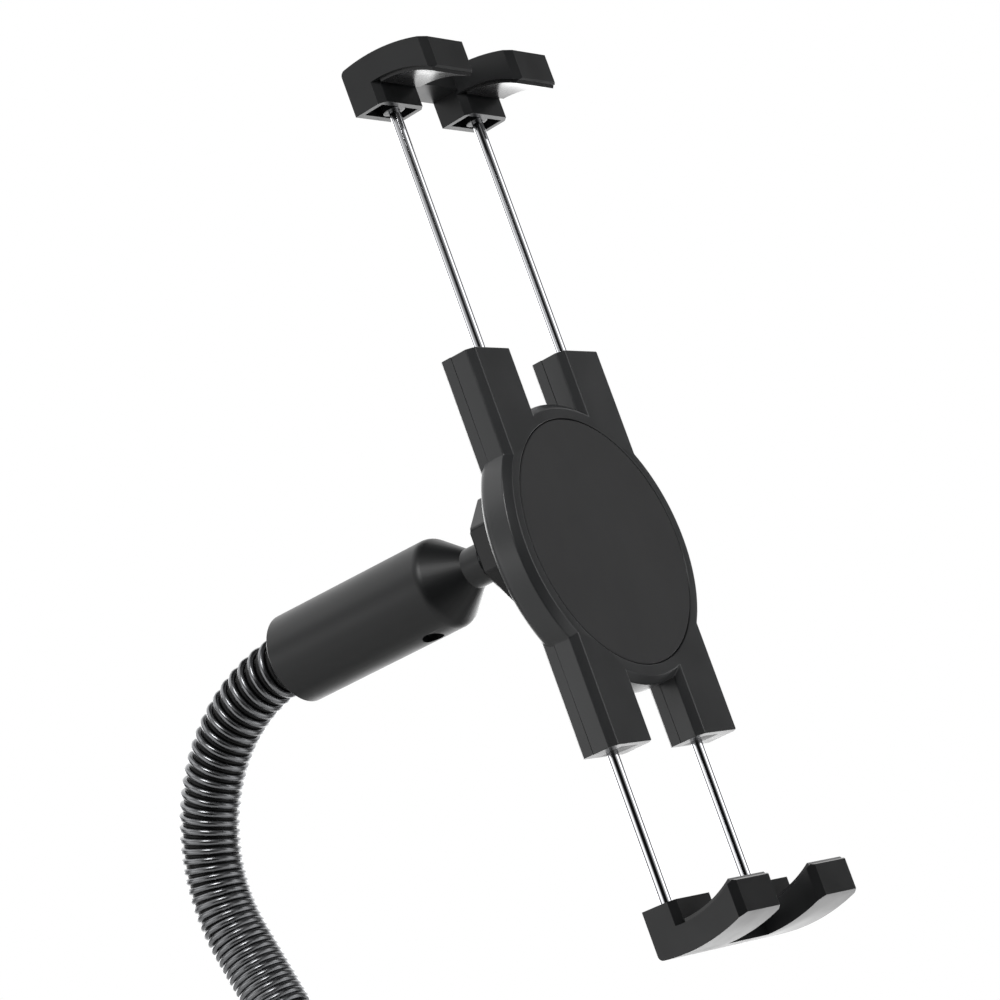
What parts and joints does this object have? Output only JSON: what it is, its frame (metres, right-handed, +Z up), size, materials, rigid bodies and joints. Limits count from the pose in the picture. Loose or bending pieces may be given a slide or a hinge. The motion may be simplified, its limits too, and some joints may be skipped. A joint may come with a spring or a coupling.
{
  "type": "phone gooseneck holder",
  "caption": "Bendable gooseneck with a ball-jointed clamp head whose hooked claws slide on rods to grip a phone or a tablet.",
  "frame": {"origin": "centre of the foot socket's mouth", "axes": "+Z up out of the foot along the neck's start, +X towards the device"},
  "size_m": [0.2018, 0.0796, 0.3176],
  "materials": {
    "black_steel": "satin black wound steel",
    "black_aluminium": "satin black",
    "plated_steel": "plated",
    "nylon": "moulded",
    "rubber": "smooth matte",
    "black_abs": "fine matte moulding",
    "nut_plastic": "glossy moulding",
    "chromed_steel": "polished"
  },
  "bodies": {
    "neck": {"base_ferrule": "black_steel", "gooseneck": "black_steel", "neck_sleeve": "black_aluminium", "sleeve_set_screw": "plated_steel", "ball_stud": "plated_steel"},
    "seat": {"ball_seat": "nylon"},
    "dish": {"socket_pad": "rubber"},
    "head": {"front_cover": "black_abs", "rear_cover": "black_abs", "grip_pad": "rubber", "cover_screws": "plated_steel", "upper_left_bush": "nylon", "upper_right_bush": "nylon", "lower_left_bush": "nylon", "lower_right_bush": "nylon"},
    "nut": {"ring_nut": "nut_plastic"},
    "upper": {"upper_claw": "black_abs", "upper_left_rod": "chromed_steel", "upper_right_rod": "chromed_steel", "upper_left_liner": "rubber", "upper_right_liner": "rubber"},
    "lower": {"lower_claw": "black_abs", "lower_left_rod": "chromed_steel", "lower_right_rod": "chromed_steel", "lower_left_liner": "rubber", "lower_right_liner": "rubber"}
  },
  "joints": [
    {"name": "head_tilt", "type": "hinge", "parent": "neck", "child": "seat", "pos_m": [0.07432, 0, 0.18521], "axis": [0, 1, 0], "range_deg": [-20, 20]},
    {"name": "head_pan", "type": "hinge", "parent": "seat", "child": "dish", "pos_m": [0.07432, 0, 0.18521], "axis": [-0.4019, 0, 0.9157], "range_deg": [-20, 20]},
    {"name": "head_spin", "type": "hinge", "parent": "dish", "child": "head", "pos_m": [0.07432, 0, 0.18521], "axis": [0.9157, 0, 0.4019], "continuous": true},
    {"name": "nut_turn", "type": "hinge", "parent": "head", "child": "nut", "pos_m": [0.07432, 0, 0.18521], "axis": [0.9157, 0, 0.4019], "range_deg": [0, 90]},
    {"name": "upper_slide", "type": "slide", "parent": "head", "child": "upper", "axis": [-0.4019, 0, 0.9157], "range_m": [-0.07, 0.0039]},
    {"name": "lower_slide", "type": "slide", "parent": "head", "child": "lower", "axis": [0.4019, 0, -0.9157], "range_m": [-0.04, 0.0337]}
  ]
}
